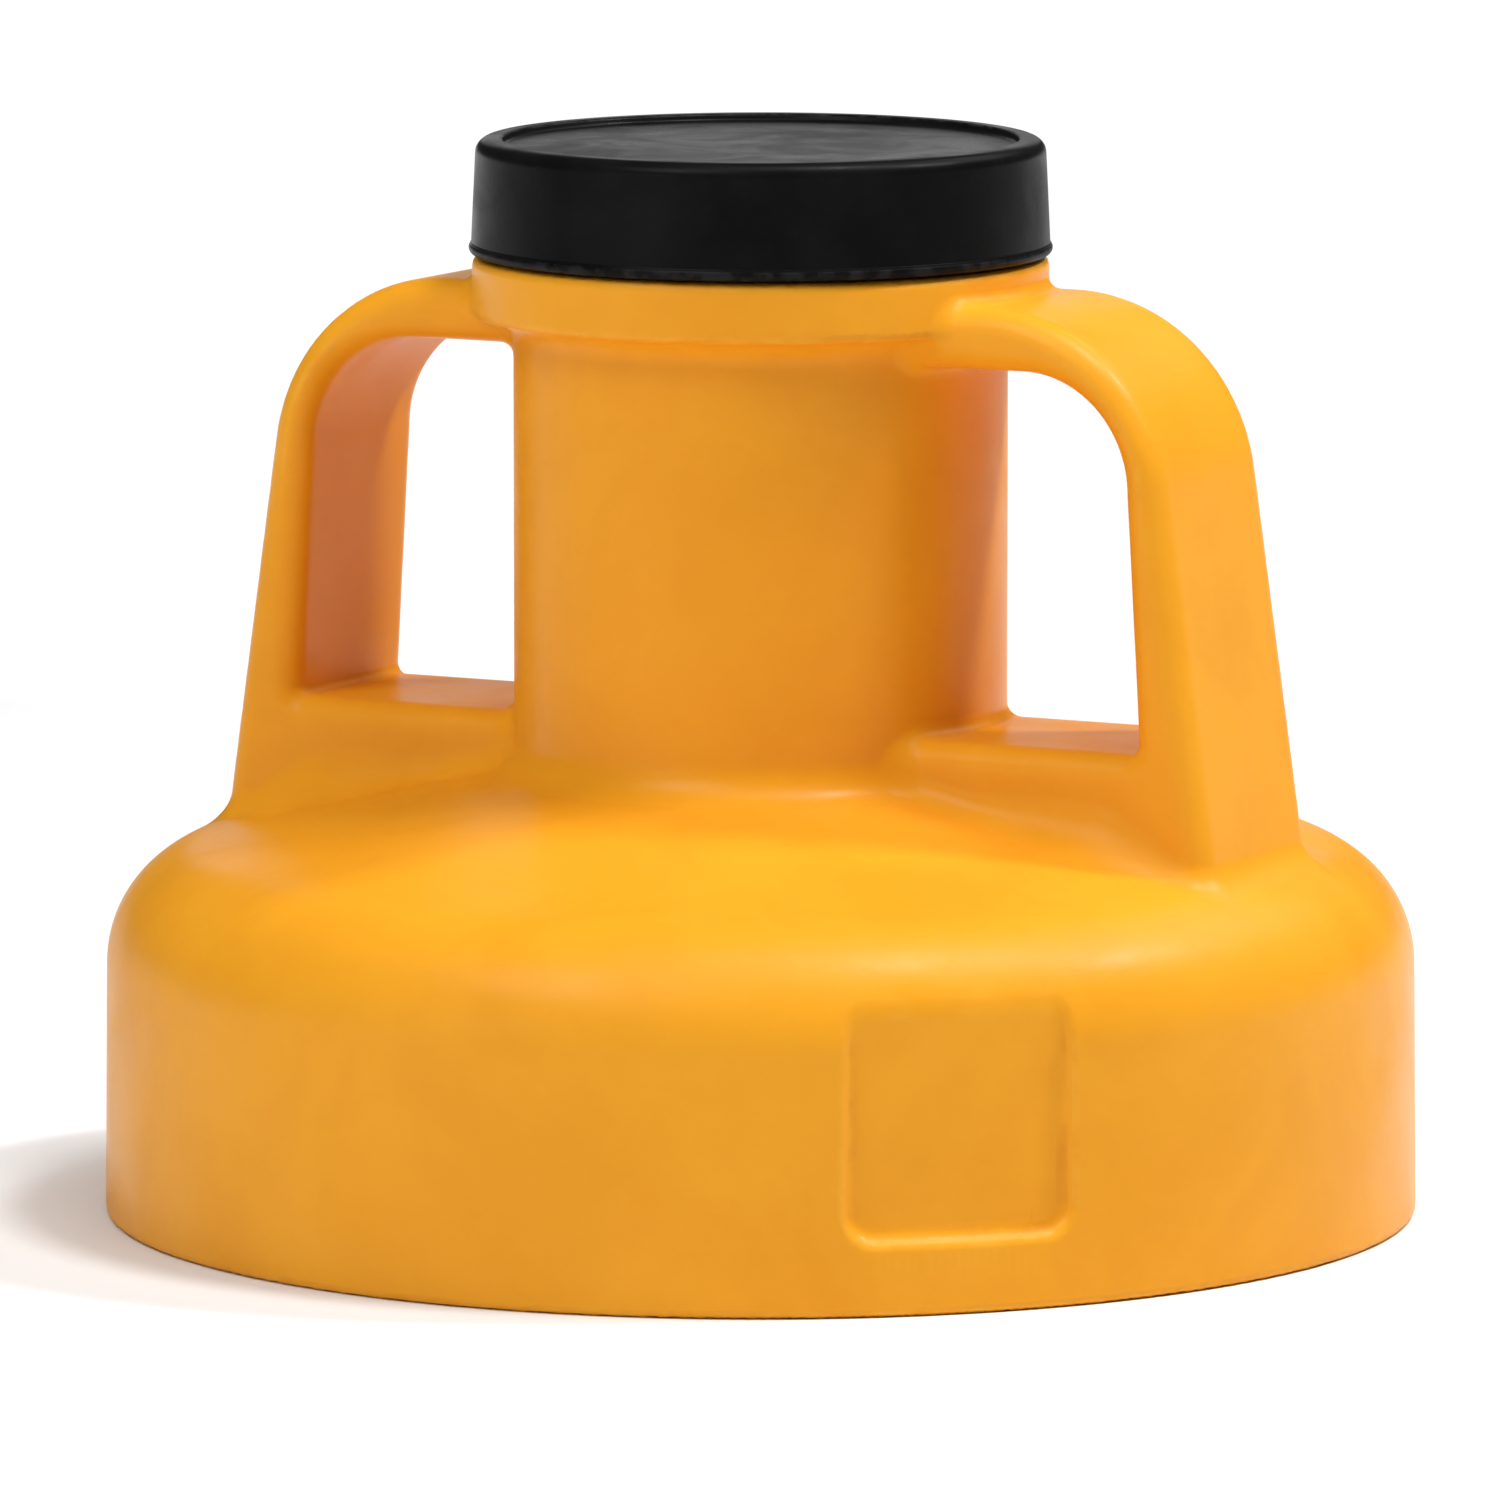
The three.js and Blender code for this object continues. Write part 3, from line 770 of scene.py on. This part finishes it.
def make_gasket():
    """A flat ring with rounded edges and two raised sealing beads on its underside."""
    edge_r = 0.7
    bead_r = 0.45
    bead_inset = 3.4
    low, high = GASKET_BOTTOM_Z + bead_r, GASKET_TOP_Z
    inner, outer = GASKET_INNER_R, GASKET_OUTER_R
    quarter = math.pi / 2
    outline = [
        *arc((inner + edge_r, low + edge_r), edge_r, 2 * quarter, 3 * quarter, 5),
        *arc((inner + bead_inset, low), bead_r, 2 * quarter, 4 * quarter, 8),
        *arc((outer - bead_inset, low), bead_r, 2 * quarter, 4 * quarter, 8),
        *arc((outer - edge_r, low + edge_r), edge_r, -quarter, 0, 5),
        *arc((outer - edge_r, high - edge_r), edge_r, 0, quarter, 5),
        *arc((inner + edge_r, high - edge_r), edge_r, quarter, 2 * quarter, 5),
    ]
    piece = revolved("gasket_ring", outline, 256)
    add_piece(piece, "base_gasket", "lid", gasket_rubber())


# --- Studio ---------------------------------------------------------------------------------------------

CAMERA_AZIMUTH = math.radians(27.8)
CAMERA_DISTANCE = 1.708
CAMERA_HEIGHT = 0.291
AIM_HEIGHT = 0.0562
AIM_ASIDE = -0.0013
FOCAL_PER_WIDTH = 9.438
SENSOR = 36.0
FLOOR_HALF = 0.36
AMBIENT = 0.04
BELOW_HORIZON = 1.05
HORIZON_BAND = 0.02
LIGHTS_AIM = Vector((0, 0, 0.06))

TOWARDS_CAMERA = Vector((math.sin(CAMERA_AZIMUTH), -math.cos(CAMERA_AZIMUTH), 0))
TO_THE_RIGHT = Vector((math.cos(CAMERA_AZIMUTH), math.sin(CAMERA_AZIMUTH), 0))


def look_at(thing, target):
    thing.rotation_mode = "QUATERNION"
    thing.rotation_quaternion = (Vector(target) - thing.location).to_track_quat("-Z", "Y")


def make_camera():
    data = bpy.data.cameras.new("camera")
    data.sensor_width = SENSOR
    data.lens = FOCAL_PER_WIDTH * SENSOR
    data.clip_start, data.clip_end = 0.05, 50
    camera = bpy.data.objects.new("camera", data)
    bpy.context.scene.collection.objects.link(camera)
    aside = TO_THE_RIGHT * AIM_ASIDE
    camera.location = TOWARDS_CAMERA * CAMERA_DISTANCE + aside + Vector((0, 0, CAMERA_HEIGHT))
    look_at(camera, aside + Vector((0, 0, AIM_HEIGHT)))
    bpy.context.scene.camera = camera


def make_light(name, azimuth, elevation, distance, size, watts):
    """A round softbox that faces the lid. The azimuth is in degrees round Z, from the lid's front."""
    data = bpy.data.lights.new(name, "AREA")
    data.shape = "DISK"
    data.size = size
    data.energy = watts
    light = bpy.data.objects.new(name, data)
    bpy.context.scene.collection.objects.link(light)
    a, e = math.radians(azimuth), math.radians(elevation)
    towards = Vector((math.sin(a) * math.cos(e), -math.cos(a) * math.cos(e), math.sin(e)))
    light.location = LIGHTS_AIM + towards * distance
    look_at(light, LIGHTS_AIM)


def make_world():
    """Dim above the horizon, so that the softboxes stand out, and white below it, past the floor's edge."""
    world = bpy.data.worlds.new("studio")
    world.use_nodes = True
    nodes, links = world.node_tree.nodes, world.node_tree.links
    background = nodes["Background"]
    background.inputs["Color"].default_value = (1, 1, 1, 1)
    place = nodes.new("ShaderNodeTexCoord")
    split = nodes.new("ShaderNodeSeparateXYZ")
    strength = nodes.new("ShaderNodeMapRange")
    levels = {
        "From Min": -HORIZON_BAND,
        "From Max": HORIZON_BAND,
        "To Min": BELOW_HORIZON,
        "To Max": AMBIENT,
    }
    for name, number in levels.items():
        strength.inputs[name].default_value = number
    links.new(place.outputs["Generated"], split.inputs["Vector"])
    links.new(split.outputs["Z"], strength.inputs["Value"])
    links.new(strength.outputs["Result"], background.inputs["Strength"])
    bpy.context.scene.world = world


def make_studio():
    half = FLOOR_HALF
    points = np.array([(-half, -half, 0), (half, -half, 0), (half, half, 0), (-half, half, 0)]) / MM
    floor = new_object("floor", new_mesh("floor", points, np.array([[0, 1, 2, 3]])))
    floor.data.materials.append(floor_paint())
    make_world()
    make_light("key_low", 123, 50, 1.8, 0.2, 15.5)
    make_light("key_high", 98, 70, 1.8, 0.4, 14.5)
    make_light("fill", -15, 50, 1.5, 0.8, 9.2)
    make_light("fill_low", -35, 8, 1.5, 0.7, 1)
    make_light("overhead", 60, 77, 1.5, 1.0, 7)
    make_light("rim", 160, 45, 1.5, 0.8, 3)
    make_light("backdrop", 208, 16, 1.9, 0.9, 1.3)
    make_light("strip", -16, 12, 1.6, 0.15, 1.4)
    scene = bpy.context.scene
    scene.view_settings.view_transform = "Standard"
    scene.view_settings.look = "None"


make_camera()
make_lid()
make_cap()
make_liner()
make_gasket()
make_studio()
